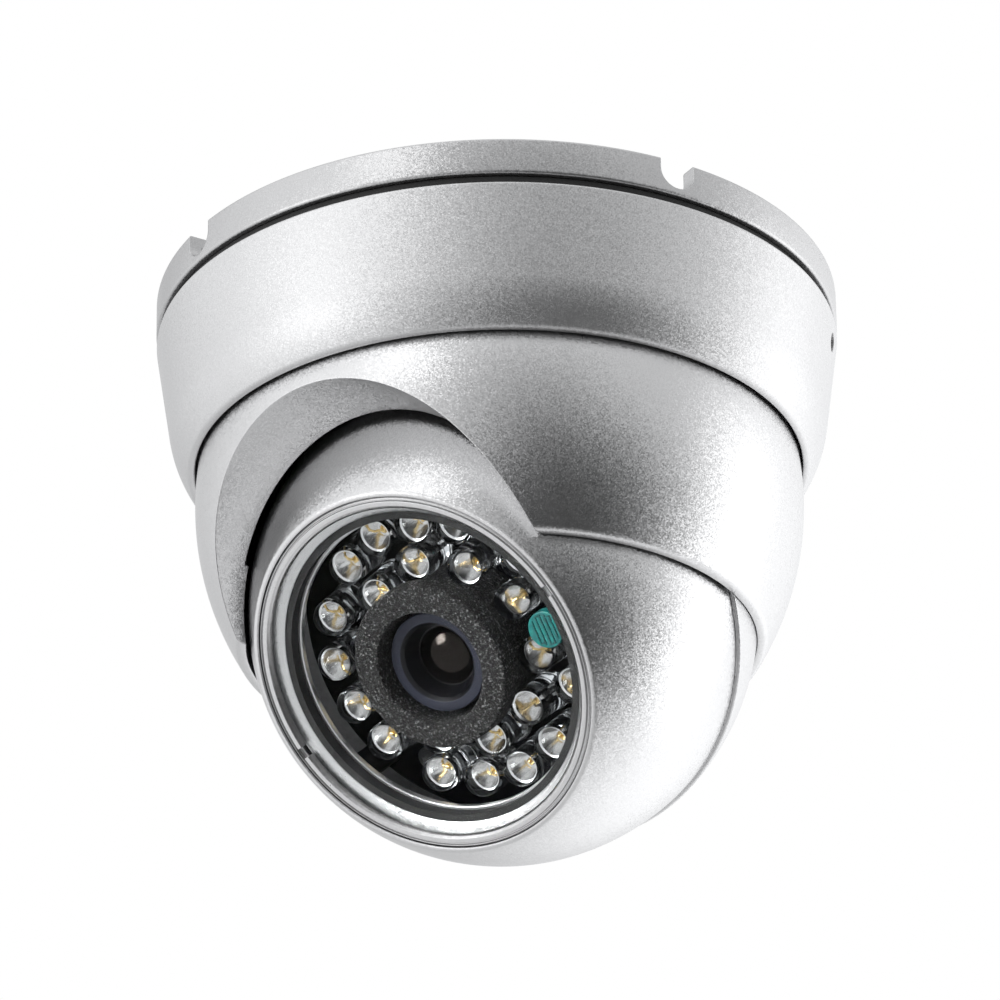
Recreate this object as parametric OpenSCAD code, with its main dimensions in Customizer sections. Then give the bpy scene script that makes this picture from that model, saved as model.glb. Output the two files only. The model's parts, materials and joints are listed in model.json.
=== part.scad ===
// Ceiling dome camera: a round base, a screwed cover, a turret that pans in
// the cover and a ball that tilts in the turret. The ball's front shell turns
// on its rear shell and carries the lens, the lamps and the window.
// The origin is the centre of the face against the ceiling. +Z points into
// the ceiling, and the lens looks towards -Y and down.

/* [Base] */
// Radius of the base
base_r = 47; // [45.5:0.5:57]
// Height of the base rim
base_rim_h = 5.2; // [4:0.1:8]
// Wall of the base rim
base_rim_wall = 2.6; // [2:0.1:4]
// Depth of the hollow on the ceiling side
base_hollow_h = 3.4; // [2:0.1:3.6]
// Width of the cable and pry notches in the rim
notch_w = 5.2; // [3:0.1:7]
// Depth of the notches
notch_h = 4.2; // [2:0.1:4.4]
// Ceiling screw circle diameter
screw_pcd = 68; // [60:0.5:74]
// Ceiling screw hole radius
screw_hole_r = 2.2; // [1.5:0.1:2.8]
// Number of ceiling screw holes
screw_count = 4; // [3:1:6]
// Radius of the cable grommet's seat in the base
grommet_seat_r = 8; // [6:0.1:10]
// Radius of the cable hole in the grommet
cable_hole_r = 3; // [2:0.1:4]

/* [Cover] */
// Height of the dark joint between base and cover
joint_h = 1.3; // [0.8:0.1:2.5]
// Height of the cover
cover_h = 19.45; // [17:0.05:24]
// Wall of the cover
cover_wall = 1.7; // [1.3:0.05:2]
// How much the side of the cover narrows downwards, in degrees
cover_draft = 8.2; // [6:0.1:9]
// Radius of the rounding at the foot of the side
cover_round_r = 14.5; // [12:0.5:18]
// Radius of the hollow's curved side in section
cover_curve_r = 31.55; // [28:0.05:38]
// Radius of the set screw holes in the cover
set_screw_r = 1.35; // [1:0.05:1.8]
// Length of a set screw
set_screw_l = 2.9; // [2.5:0.1:3.3]

/* [Turret] */
// How far the turret's round side lies inside the base's radius
turret_inset = 5.5; // [4.8:0.05:7]
// Height of the turret below the cover
turret_h = 26.25; // [24:0.05:29]
// Gap between turret and cover
pan_gap = 0.4; // [0.3:0.05:0.8]
// Radius of the front opening where it leaves the turret
brow_r = 26.6; // [25.6:0.1:27]
// How much the front opening widens outwards, in degrees
brow_draft = 3; // [0:0.5:6]
// Height of the opening's centre line below the ball's centre
brow_drop = 8.6; // [6:0.1:10]
// Pan travel to each side, in degrees
pan_travel = 170; // [90:1:170]

/* [Ball] */
// Radius of the ball's rear
ball_r = 34.8; // [34:0.05:35.2]
// How far the front shell lies below the rear shell's round
shell_step = 0.55; // [0.3:0.05:0.8]
// Wall of the ball shells
ball_wall = 2.2; // [1.6:0.1:3]
// Running clearance between ball and seats
seat_gap = 0.08; // [0.03:0.01:0.1]
// Angle of the lens below the horizontal
lens_tilt = 42; // [20:1:85]
// Distance of the shell joint behind the ball's centre
seam_h = 2; // [1.2:0.1:4]
// Radius of the hollow stem at the back of the ball
stem_r = 4; // [3:0.1:4.4]

/* [Front] */
// Height of the front lip above the ball's centre
lip_h = 22.83; // [21:0.01:23.5]
// Radius of the threaded front bore
front_bore_r = 24.95; // [24:0.05:25.2]
// Width of the bezel ring
bezel_w = 1.5; // [1.3:0.05:2.3]
// Thickness of the window
window_t = 1.6; // [1.2:0.05:2]
// Width of the land under the window
land_w = 1.9; // [1.3:0.1:2.4]
// Width of the deep ledge inside the land
ledge_w = 1.5; // [1.2:0.05:1.6]

/* [Lamps] */
// Radius of a lamp's body
led_r = 2.5; // [1.5:0.05:2.6]
// Height of a lamp with its dome
led_h = 8.7; // [6:0.1:9]
// Radius of the outer lamp circle
led_outer_r = 17.9; // [17.5:0.05:18]
// Gap between the flanges of the outer and the inner lamp circle
led_row_gap = 0; // [0:0.05:0.2]
// Number of lamps on the inner circle
led_inner_count = 10; // [6:1:10]
// Height of the lamp tips above the ball's centre
led_tip_h = 16.35; // [15:0.05:16.6]
// Radius of the light sensor
photocell_r = 2.55; // [2:0.05:2.7]

/* [Lens] */
// Outer radius of the foam ring
foam_r = 11.35; // [10.5:0.05:11.6]
// Inner radius of the foam ring
foam_in_r = 7.8; // [7.4:0.05:8]
// Radius of the lens head
lens_head_r = 6.95; // [6.5:0.05:7.2]
// Height of the lens face above the ball's centre
lens_face_h = 17.95; // [17:0.05:19]
// Radius of the lens thread
lens_thread_r = 5.95; // [5.5:0.05:6]
// Side of the square sensor board
sensor_board_w = 32; // [31:0.5:34]
// Thickness of the circuit boards
board_t = 1.6; // [1:0.1:2]

/* [Hidden] */
$fn = 96;
eps = 0.02;
far = 200;
// base
base_floor_t = base_rim_h - base_hollow_h;
base_in_r = base_r - base_rim_wall;
notch_deg = [-20, 70, 160, 250];
boss_r = screw_hole_r + 2.6;
sink_r = screw_hole_r * 2;
spigot_gap = 0.4;
spigot_wall = 1.8;
joint_step = 0.9;
// cover: its side is a cone that meets the lip in an arc
cover_top_z = -(base_rim_h + joint_h);
cover_bot_z = cover_top_z - cover_h;
cover_r = base_r;
cover_cx = cover_r + 0.05 - cover_wall - cover_curve_r;
cover_cz = cover_top_z - 2.5;
cover_bore_r = cover_r - 2.4;
spigot_r = cover_bore_r - spigot_gap;
spigot_in_r = spigot_r - spigot_wall;
set_screw_z = cover_top_z - 3.3;
set_screw_deg = [120, 300];
set_screw_tip_r = spigot_r - 1.2;
set_screw_hex = 0.75;
// turret: rests on the cover's ledge and is kept down by the base spigot
ledge_z = cover_bot_z + 4.85;
glide_t = 0.7;
slide_gap = 0.05;
flange_t = 2;
flange_bot_z = ledge_z + glide_t + slide_gap;
flange_top_z = flange_bot_z + flange_t;
press_t = 1.05;
spigot_bot_z = flange_top_z + slide_gap + press_t;
turret_r = base_r - turret_inset;
turret_cz = cover_bot_z - 5.05;
neck_r = sqrt(turret_r * turret_r - 25.5);
cover_lip_r = neck_r + pan_gap;
cover_foot_r = cover_lip_r + 0.8;
ledge_out_r = cover_cx + sqrt(pow(cover_curve_r, 2) - pow(ledge_z - cover_cz, 2));
flange_r = ledge_out_r - 0.25;
rim_z = cover_bot_z - turret_h;
stop_half_deg = (180 - pan_travel) / 2 - 1;
// ball
ball_z = rim_z + 5.28;
ball_in_r = ball_r - ball_wall;
front_r = ball_r - shell_step;
front_in_r = front_r - ball_wall;
seat_r = ball_r + seat_gap;
cavity_r = ball_r + 0.65;
seat_top_z = ball_z + 4.4;
brow_z = ball_z - brow_drop;
brow_top_z = brow_z + brow_r;
floor_z = brow_top_z + 1.6;
ring_t = 2.2;
turret_bore_r = neck_r - 4.3;
cap_in_r = ball_r + 0.8;
cap_t = 1.8;
cap_out_r = cap_in_r + cap_t;
cap_bot_z = floor_z + slide_gap + ring_t + slide_gap;
cap_flange_t = 1.8;
cap_flange_r = neck_r - 0.8;
cap_screw_pcr = (turret_bore_r + neck_r) / 2;
cap_screw_r = 1.1;
cap_screw_head_r = 1.9;
cap_screw_head_h = 1.3;
cap_screw_l = 6;
cap_screw_deg = [45, 135, 225, 315];
stop_h = 3.9;
stop_lap = 2;
// stem: hollow tube through the ball's rear, running in the cap's slot
stem_bore_r = stem_r - 1.3;
stem_top = cap_out_r + 1.2;
stem_nut_r = stem_r + 2.2;
stem_nut_h = 2;
// The nut's corners just clear the hollow of the shell
stem_nut_z = slide_gap - sqrt(pow(ball_in_r, 2) - pow(stem_nut_r, 2));
slot_gap = 0.35;
groove_gap = 1;
tilt_up = 25;
// joint between the shells
seam_gap = 0.15;
collar_h = 3;
collar_r = front_in_r - 2.1;
spigot_run = 0.06;
rear_spigot_r = collar_r - spigot_run;
rear_spigot_wall = 2;
keeper_r = collar_r + 1.2;
keeper_t = 1.2;
keeper_screw_r = 0.8;
keeper_screw_deg = [30, 150, 270];
// front
seat_h = lip_h - 2.53;
land_chamfer = 0.45;
ledge_h = lip_h - 5.03;
ledge_t = 0.9;
bezel_gap = 0.1;
bezel_r = front_bore_r - bezel_gap;
bezel_top = lip_h - 0.08;
bezel_in_r = bezel_r - bezel_w;
window_r = front_bore_r - 1.05;
land_r = window_r - land_w;
ledge_r = land_r - ledge_w;
bezel_lip = bezel_top - (seat_h + slide_gap + window_t + slide_gap);
bezel_groove_r = front_bore_r - 0.5;
slot_deg = [11, 191];
slot_w = 1.5;
gasket_t = 1;
// lamps
board_top = led_tip_h - led_h - slide_gap;
board_bot = board_top - board_t;
board_r = 24.8;
board_hole_r = 8.6;
led_flange_r = led_r + 0.15;
led_inner_r = led_outer_r - 2 * led_flange_r - led_row_gap;
led_group_deg = [-2.8, 89.8, 177, 266];
led_pitch_deg = 20.3;
led_inner_deg = 88;
led_clear = 0.3;
pillar_r = 2;
pillar_pcr = led_outer_r + led_flange_r + pillar_r + 0.15;
pillar_deg = [87, 207, 327];
photocell_h = lens_face_h + 0.35;
lead_r = 0.7;
lead_gap = 1.27;
// lens and boards
foam_low_r = led_inner_r - led_r - led_clear;
foam_step_h = led_tip_h + led_clear;
foam_top = seat_h - slide_gap;
lens_cone_r = lens_head_r - 1.35;
lens_glass_r = 4;
lens_glass_h = lens_face_h - 2.7;
lens_glass_rise = 1.6;
lens_head_l = 6;
lens_bot = 1.6;
lens_run = 0.05;
holder_r = lens_thread_r + 1.7;
holder_w = 17;
sensor_gap = 9.6;
sensor_top = board_bot - sensor_gap;
sensor_bot = sensor_top - board_t;
holder_top = sensor_top + 13;
sensor_w = 9;
sensor_t = 1.1;
post_pcr = 19.5;
post_deg = [42.6, 132.6, 222.6, 312.6];
post_r = 2;
post_screw_r = 1;
post_head_r = 1.6;
post_head_h = 1;

mounting_base();
base_gasket();
cable_grommet();
outer_cover();
cover_set_screws();
pan_glide_ring();
pan_pressure_ring();
turret_shell();
ball_pressure_ring();
ball_retainer_cap();
retainer_screws();
ball_rear_shell();
cable_stem();
stem_nut();
shell_keeper_ring();
keeper_screws();
ball_front_shell();
bezel_ring();
window_glass();
window_gasket();
led_board();
led_board_screws();
ir_leds();
led_leads();
photocell();
photocell_holder();
foam_baffle_ring();
lens_barrel();
lens_front_glass();
lens_rear_glass();
lens_holder();
sensor_board();
image_sensor();
board_standoffs();
board_screws();
board_connector();

// ---- helpers ----

// A ring of rectangular section between two radii and two heights
module ring(r_in, r_out, z0, z1) {
  translate([0, 0, z0]) difference() {
    cylinder(h = z1 - z0, r = r_out);
    translate([0, 0, -1]) cylinder(h = z1 - z0 + 2, r = r_in);
  }
}

// A plain disc between two heights
module disc(r, z0, z1) {
  translate([0, 0, z0]) cylinder(h = z1 - z0, r = r);
}

// A rectangle in the half plane that is turned about the axis
module half(r0, r1, z0, z1) {
  translate([r0, z0]) square([r1 - r0, z1 - z0]);
}

// Places children on a circle, with azimuth 0 at -Y and +90 at +X
module at_azimuth(deg, r, z) {
  rotate([0, 0, deg - 90]) translate([r, 0, z]) children();
}

// Places children on a circle about the lens axis, counted from +X
module at_angle(deg, r, z) {
  rotate([0, 0, deg]) translate([r, 0, z]) children();
}

// From lens coordinates (Z out along the lens, Y up) to the camera's own
module lens_frame() {
  translate([0, 0, ball_z]) rotate([90 + lens_tilt, 0, 0]) children();
}

// Angles of the outer lamps: four groups of four, with the light sensor in
// the place of the middle two of the first group
function outer_led_deg() = [
  for (g = [0:3]) for (k = [-1.5, -0.5, 0.5, 1.5])
    if (!(g == 0 && abs(k) < 1)) led_group_deg[g] + k * led_pitch_deg
];
function inner_led_deg() = [for (k = [0:led_inner_count - 1]) led_inner_deg + k * 360 / led_inner_count];

// ---- base ----

module mounting_base() color("silver") {
  difference() {
    union() {
      ring(base_in_r, base_r, -base_rim_h, 0);
      disc(base_in_r + eps, -base_rim_h, -base_hollow_h);
      ring(spigot_in_r, spigot_r, spigot_bot_z, -base_rim_h + eps);
      ring(grommet_seat_r + 3.2, grommet_seat_r + 5, -base_hollow_h - eps, 0);
      for (k = [0:screw_count - 1])
        rotate([0, 0, 45 + k * 360 / screw_count]) translate([screw_pcd / 2, 0, -base_rim_h])
          cylinder(h = base_rim_h, r = boss_r);
      for (k = [0:7]) rotate([0, 0, 22.5 + k * 45])
        translate([grommet_seat_r + 4.2, -0.8, -base_hollow_h - eps])
          cube([base_in_r - grommet_seat_r - 4.2 + 0.5, 1.6, base_hollow_h * 0.7]);
      pan_stop_block();
    }
    translate([0, 0, -base_rim_h - 1]) cylinder(h = base_rim_h + 2, r = grommet_seat_r);
    for (k = [0:screw_count - 1])
      rotate([0, 0, 45 + k * 360 / screw_count]) translate([screw_pcd / 2, 0, 0]) {
        translate([0, 0, -base_rim_h - 1]) cylinder(h = base_rim_h + 2, r = screw_hole_r);
        translate([0, 0, -base_rim_h - eps]) cylinder(h = sink_r - screw_hole_r, r1 = sink_r, r2 = screw_hole_r);
      }
    for (a = notch_deg) at_azimuth(a, base_in_r - 2, 0) notch_cut();
    for (a = set_screw_deg) at_azimuth(a, set_screw_tip_r, set_screw_z)
      rotate([0, 90, 0]) cylinder(h = 10, r = set_screw_r);
  }
}

// A slot with a round end, open towards the ceiling
module notch_cut() {
  translate([0, -notch_w / 2, -notch_h + notch_w / 2]) cube([far, notch_w, notch_h]);
  translate([0, 0, -notch_h + notch_w / 2]) rotate([0, 90, 0]) cylinder(h = far, r = notch_w / 2);
}

// The fixed stop hangs from the base behind the turret's lug
module pan_stop_block() {
  top = -base_rim_h + eps;
  bot = flange_top_z + cap_flange_t + stop_h - stop_lap;
  rotate([0, 0, 90 - stop_half_deg]) rotate_extrude(angle = 2 * stop_half_deg)
    half(cap_flange_r - 2.2, spigot_in_r + eps, bot, top);
}

module base_gasket() color("dimgray")
  ring(cover_bore_r, base_r - joint_step, cover_top_z, -base_rim_h);

module cable_grommet() color("dimgray") difference() {
  union() {
    disc(grommet_seat_r, -base_rim_h - 1.2, -base_hollow_h + 1.2);
    disc(grommet_seat_r + 2, -base_hollow_h, -base_hollow_h + 1.2);
    disc(grommet_seat_r + 2, -base_rim_h - 1.2, -base_rim_h);
  }
  disc(cable_hole_r, -far, far);
}

// ---- cover ----

// The rounding that leaves the tapered side and ends at the lip, in fine steps
function cover_foot() =
  let (side = [-sin(cover_draft), -cos(cover_draft)],
       lead = [cover_r - cover_round_r * cos(cover_draft) - cover_foot_r, cover_top_z + cover_round_r * sin(cover_draft) - cover_bot_z],
       along = side * lead,
       run = -along - sqrt(pow(along, 2) - lead * lead + pow(cover_round_r, 2)),
       centre = [cover_foot_r, cover_bot_z] + lead + run * side,
       last = atan2(centre[1] - cover_bot_z, cover_foot_r - centre[0]))
  [for (k = [0:8]) let (t = cover_draft + (last - cover_draft) * k / 8)
    centre + cover_round_r * [cos(t), -sin(t)]];

module outer_cover() color("gainsboro") difference() {
  rotate_extrude() difference() {
    polygon(concat([[neck_r - 5, cover_bot_z], [neck_r - 5, cover_top_z], [cover_r, cover_top_z]], cover_foot()));
    half(0, cover_lip_r, cover_bot_z - 1, cover_top_z + 1);
    intersection() {
      translate([cover_cx, cover_cz]) circle(r = cover_curve_r);
      half(0, cover_bore_r, ledge_z, cover_cz);
    }
    half(0, cover_bore_r, cover_cz - eps, cover_top_z + 1);
  }
  for (a = set_screw_deg) at_azimuth(a, cover_bore_r - 2, set_screw_z)
    rotate([0, 90, 0]) cylinder(h = 10, r = set_screw_r);
}

module cover_set_screws() color("gray")
  for (a = set_screw_deg) at_azimuth(a, set_screw_tip_r, set_screw_z) rotate([0, 90, 0]) difference() {
    cylinder(h = set_screw_l, r = set_screw_r - 0.05);
    translate([0, 0, set_screw_l - 1.2]) cylinder(h = 2, r = set_screw_hex, $fn = 6);
  }

module pan_glide_ring() color("white")
  ring(cover_lip_r + 0.1, flange_r, ledge_z, ledge_z + glide_t);

module pan_pressure_ring() color("dimgray")
  ring(cap_flange_r + 0.8, flange_r + 0.3, spigot_bot_z - press_t, spigot_bot_z);

// ---- turret ----

module turret_shell() color("silver") difference() {
  rotate_extrude() difference() {
    union() {
      intersection() {
        translate([0, turret_cz]) circle(r = turret_r);
        half(0, turret_r + 1, rim_z, cover_bot_z);
      }
      half(0, neck_r, cover_bot_z - eps, flange_top_z);
      half(0, flange_r, flange_bot_z, flange_top_z);
    }
    intersection() {
      translate([0, ball_z]) circle(r = seat_r);
      half(0, far, rim_z - 1, seat_top_z);
    }
    intersection() {
      translate([0, ball_z]) circle(r = cavity_r);
      half(0, far, seat_top_z, floor_z + eps);
    }
    half(0, turret_bore_r, floor_z, flange_top_z + 1);
  }
  brow_cut();
  translate([-stem_r - groove_gap, cavity_r - 8, seat_top_z])
    cube([2 * (stem_r + groove_gap), turret_bore_r + 1.7 - cavity_r + 8, far]);
  for (a = cap_screw_deg) at_azimuth(a, cap_screw_pcr, flange_top_z - cap_screw_l)
    cylinder(h = far, r = cap_screw_r);
}

// The opening the ball's front looks out of
module brow_cut() {
  reach = turret_r + 4;
  start = ball_r * 0.6;
  widen = (reach - start) * tan(brow_draft);
  near_r = brow_r - (neck_r - start) * tan(brow_draft);
  translate([0, -start, brow_z]) rotate([90, 0, 0])
    cylinder(h = reach - start, r1 = near_r, r2 = near_r + widen);
}

module ball_pressure_ring() color("dimgray") difference() {
  rotate_extrude() difference() {
    half(0, cap_ring_out(), floor_z + slide_gap, floor_z + slide_gap + ring_t);
    translate([0, ball_z]) circle(r = seat_r);
  }
  slot_block(stem_r + groove_gap);
}
function cap_ring_out() = sqrt(pow(cap_out_r, 2) - pow(cap_bot_z - ball_z, 2)) + 1;

// Everything within a distance of the middle plane, behind the ball
module slot_block(half_w) translate([-half_w, 10, -far]) cube([2 * half_w, far, 2 * far]);

module ball_retainer_cap() color("silver") {
  difference() {
    rotate_extrude() difference() {
      union() {
        intersection() {
          translate([0, ball_z]) circle(r = cap_out_r);
          half(0, far, cap_bot_z, far);
        }
        half(0, cap_flange_r, flange_top_z, flange_top_z + cap_flange_t);
      }
      translate([0, ball_z]) circle(r = cap_in_r);
    }
    stem_path();
    for (a = cap_screw_deg) at_azimuth(a, cap_screw_pcr, flange_top_z - 1)
      cylinder(h = far, r = cap_screw_r + 0.1);
  }
  rotate([0, 0, -90 - stop_half_deg]) rotate_extrude(angle = 2 * stop_half_deg)
    half(cap_flange_r - 2.2, cap_flange_r - 0.3, flange_top_z + cap_flange_t - 0.5, flange_top_z + cap_flange_t + stop_h);
}

// The slot the stem sweeps from the lens level to the lens straight down
module stem_path() {
  w = stem_r + slot_gap;
  translate([-w, -w, cap_bot_z - 1]) cube([2 * w, turret_bore_r + 0.5 + w, far]);
}

module retainer_screws() color("gray")
  for (a = cap_screw_deg) at_azimuth(a, cap_screw_pcr, flange_top_z + cap_flange_t) {
    translate([0, 0, -cap_flange_t - cap_screw_l + 1]) cylinder(h = cap_flange_t + cap_screw_l - 1 + eps, r = cap_screw_r - 0.05);
    difference() {
      cylinder(h = cap_screw_head_h, r = cap_screw_head_r);
      for (q = [0, 90]) rotate([0, 0, q]) translate([-0.25, -1.1, cap_screw_head_h - 0.7]) cube([0.5, 2.2, 1]);
    }
  }

// ---- ball, rear half ----

module ball_rear_shell() color("silver") lens_frame() difference() {
  rotate_extrude() difference() {
    union() {
      intersection() {
        circle(r = ball_r);
        half(0, far, -far, -seam_h - seam_gap);
      }
      half(0, rear_spigot_r, -seam_h - seam_gap - 3, collar_h - seam_h + 0.1);
    }
    intersection() {
      circle(r = ball_in_r);
      half(0, far, -far, -seam_h - seam_gap - 2);
    }
    half(0, rear_spigot_r - rear_spigot_wall, -seam_h - seam_gap - 3, far);
  }
  disc(stem_r - 1 + 0.05, -far, 0);
  for (a = keeper_screw_deg) at_angle(a, rear_spigot_r - rear_spigot_wall / 2, collar_h - seam_h - 3)
    cylinder(h = far, r = keeper_screw_r);
}

module cable_stem() color("gray") lens_frame() difference() {
  union() {
    disc(stem_r, -stem_top, -ball_r - 0.1);
    disc(stem_r - 1, -stem_top + 0.5, stem_nut_z + stem_nut_h + 0.5);
  }
  disc(stem_bore_r - 0.7, -far, 0);
}

module stem_nut() color("gray") lens_frame() translate([0, 0, stem_nut_z]) difference() {
  cylinder(h = stem_nut_h, r = stem_nut_r, $fn = 6);
  translate([0, 0, -1]) cylinder(h = far, r = stem_r - 1 + 0.05);
}

module shell_keeper_ring() color("gray") lens_frame() difference() {
  ring(rear_spigot_r - rear_spigot_wall, keeper_r, collar_h - seam_h + 0.12, collar_h - seam_h + 0.12 + keeper_t);
  for (a = keeper_screw_deg) at_angle(a, rear_spigot_r - rear_spigot_wall / 2, -1)
    cylinder(h = far, r = keeper_screw_r + 0.1);
}

module keeper_screws() color("dimgray") lens_frame()
  for (a = keeper_screw_deg) at_angle(a, rear_spigot_r - rear_spigot_wall / 2, collar_h - seam_h + 0.12 + keeper_t) {
    translate([0, 0, -keeper_t - 2.5]) cylinder(h = keeper_t + 2.5 + eps, r = keeper_screw_r - 0.05);
    difference() {
      cylinder(h = 0.9, r = 1.3);
      for (q = [0, 90]) rotate([0, 0, q]) translate([-0.2, -0.8, 0.45]) cube([0.4, 1.6, 1]);
    }
  }

// ---- ball, front half ----

module ball_front_shell() color("silver") lens_frame() {
  difference() {
    rotate_extrude() difference() {
      intersection() {
        circle(r = front_r);
        half(0, far, -seam_h, lip_h);
      }
      intersection() {
        circle(r = front_in_r);
        half(0, far, collar_h - seam_h, ledge_h - ledge_t);
      }
      half(0, collar_r, -seam_h - 1, collar_h - seam_h + 1);
      half(0, ledge_r, 0, lip_h + 1);
      half(0, land_r, ledge_h, lip_h + 1);
      polygon([[0, seat_h - land_chamfer], [land_r, seat_h - land_chamfer], [land_r + 2 * land_chamfer, seat_h], [0, seat_h]]);
      half(0, front_bore_r, seat_h, lip_h + 1);
    }
  }
  for (a = pillar_deg) at_angle(a, pillar_pcr, board_top) difference() {
    cylinder(h = ledge_h - ledge_t - board_top + 0.3, r = pillar_r);
    translate([0, 0, -1]) cylinder(h = 5, r = 0.8);
  }
}

module bezel_ring() color("gainsboro") lens_frame() difference() {
  rotate_extrude() difference() {
    half(bezel_in_r, bezel_r, seat_h + slide_gap, bezel_top);
    half(0, window_r + 0.05, seat_h, bezel_top - bezel_lip);
    polygon([[0, bezel_top - bezel_lip - eps], [bezel_in_r - 0.01, bezel_top - bezel_lip - eps], [bezel_in_r, bezel_top - 0.25], [bezel_in_r + 0.3, bezel_top + 1], [0, bezel_top + 1]]);
    half(bezel_groove_r - 0.2, bezel_groove_r + 0.05, bezel_top - 0.3, bezel_top + 1);
  }
  for (a = slot_deg) rotate([0, 0, a]) translate([bezel_in_r - 2, -slot_w / 2, bezel_top - bezel_lip * 0.9])
    cube([3.1, slot_w, 5]);
}

module window_glass() color("lightblue", 0.3) lens_frame()
  disc(window_r, seat_h + slide_gap, seat_h + slide_gap + window_t);

module window_gasket() color("black") lens_frame()
  ring(land_r - gasket_t, land_r, ledge_h, seat_h - land_chamfer);

// ---- lamps ----

module led_board() color("darkgreen") lens_frame() difference() {
  disc(board_r, board_bot, board_top);
  disc(board_hole_r, -far, far);
  for (a = pillar_deg) at_angle(a, pillar_pcr, -far) cylinder(h = 2 * far, r = 0.9);
  for (a = post_deg) at_angle(a, post_pcr, -far) cylinder(h = 2 * far, r = post_screw_r + 0.1);
}

module led_board_screws() color("gray") lens_frame()
  for (a = pillar_deg) at_angle(a, pillar_pcr, board_bot) {
    translate([0, 0, -1]) cylinder(h = board_t + 4, r = 0.75);
    translate([0, 0, -1 - slide_gap]) cylinder(h = 1, r = 1.5);
  }

module ir_leds() color("white", 0.6) lens_frame() {
  for (a = outer_led_deg()) at_angle(a, led_outer_r, board_top + slide_gap) led();
  for (a = inner_led_deg()) at_angle(a, led_inner_r, board_top + slide_gap) led();
}

// One lamp: a flange, a body and a round dome
module led() rotate_extrude() intersection() {
  union() {
    half(0, led_flange_r, 0, 1);
    half(0, led_r, 0, led_h - led_r);
    translate([0, led_h - led_r]) circle(r = led_r);
  }
  half(0, led_flange_r + 1, 0, led_h + 1);
}

module led_leads() color("goldenrod") lens_frame() {
  for (a = outer_led_deg()) at_angle(a, led_outer_r, board_bot - 0.9) lead_pair();
  for (a = inner_led_deg()) at_angle(a, led_inner_r, board_bot - 0.9) lead_pair();
}
module lead_pair() for (s = [-1, 1]) translate([0, s * lead_gap, 0]) cylinder(h = 0.9, r1 = lead_r * 0.4, r2 = lead_r);

module photocell() color("teal") lens_frame()
  at_angle(led_group_deg[0], led_outer_r, photocell_h - 1.6) cylinder(h = 1.6, r = photocell_r);

module photocell_holder() color("black") lens_frame()
  at_angle(led_group_deg[0], led_outer_r, board_top) cylinder(h = photocell_h - 1.6 - board_top, r = photocell_r - 0.25);

// ---- lens ----

module foam_baffle_ring() color("black") lens_frame() {
  rotate_extrude() difference() {
    union() {
      half(foam_in_r, foam_low_r, board_top, foam_step_h + eps);
      half(foam_in_r, foam_r, foam_step_h, foam_top);
    }
  }
}

module lens_barrel() color("dimgray") lens_frame() rotate_extrude() difference() {
  union() {
    half(0, lens_head_r, lens_face_h - lens_head_l, lens_face_h);
    half(0, lens_thread_r, lens_bot, lens_face_h - lens_head_l + eps);
  }
  polygon([[0, lens_glass_h], [lens_glass_r + 0.2, lens_glass_h], [lens_cone_r - 0.5, lens_face_h - 0.5], [lens_cone_r, lens_face_h + eps], [0, lens_face_h + eps]]);
  half(0, lens_glass_r - 0.8, lens_bot + 3, lens_face_h);
  half(0, lens_glass_r - 0.2, lens_bot - 1, lens_bot + 1.2);
}

module lens_front_glass() color("midnightblue") lens_frame() rotate_extrude() intersection() {
  translate([0, lens_glass_h + lens_glass_rise - glass_curve_r()]) circle(r = glass_curve_r());
  half(0, lens_glass_r, lens_glass_h, far);
}
function glass_curve_r() = (pow(lens_glass_r, 2) + pow(lens_glass_rise, 2)) / (2 * lens_glass_rise);

module lens_rear_glass() color("midnightblue") lens_frame()
  disc(lens_glass_r - 0.2, lens_bot + 0.1, lens_bot + 1.2);

module lens_holder() color("black") lens_frame() difference() {
  union() {
    disc(holder_r, sensor_top, holder_top);
    translate([-holder_w / 2, -holder_w / 2, sensor_top]) cube([holder_w, holder_w, 3.5]);
  }
  disc(lens_thread_r + lens_run, sensor_top + 3.2, far);
  translate([-sensor_w / 2 - 0.5, -sensor_w / 2 - 0.5, sensor_top - 1]) cube([sensor_w + 1, sensor_w + 1, 4.3]);
}

module sensor_board() color("darkgreen") lens_frame() difference() {
  translate([0, 0, sensor_bot]) rotate([0, 0, post_deg[0] - 45]) translate([-sensor_board_w / 2, -sensor_board_w / 2, 0])
    cube([sensor_board_w, sensor_board_w, board_t]);
  for (a = post_deg) at_angle(a, post_pcr, -far) cylinder(h = 2 * far, r = post_screw_r + 0.1);
}

module image_sensor() color("gray") lens_frame()
  translate([-sensor_w / 2, -sensor_w / 2, sensor_top]) cube([sensor_w, sensor_w, sensor_t]);

module board_standoffs() color("gold") lens_frame()
  for (a = post_deg) at_angle(a, post_pcr, sensor_top) difference() {
    cylinder(h = sensor_gap, r = post_r, $fn = 6);
    translate([0, 0, -1]) cylinder(h = far, r = post_screw_r + 0.05);
  }

// Screws from both boards into the ends of the standoffs
module board_screws() color("gray") lens_frame()
  for (a = post_deg) {
    at_angle(a, post_pcr, board_top) {
      translate([0, 0, -board_t - 3]) cylinder(h = board_t + 3 + eps, r = post_screw_r - 0.05);
      cylinder(h = post_head_h, r = post_head_r);
    }
    at_angle(a, post_pcr, sensor_bot) {
      translate([0, 0, -eps]) cylinder(h = board_t + 3, r = post_screw_r - 0.05);
      translate([0, 0, -post_head_h]) cylinder(h = post_head_h, r = post_head_r);
    }
  }

module board_connector() color("ivory") lens_frame() rotate([0, 0, post_deg[0] - 45])
  translate([-6, -10, sensor_bot - 4.5]) difference() {
    cube([12, 5, 4.5]);
    translate([0.8, 0.8, -1]) cube([10.4, 3.4, 4]);
  }
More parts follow.
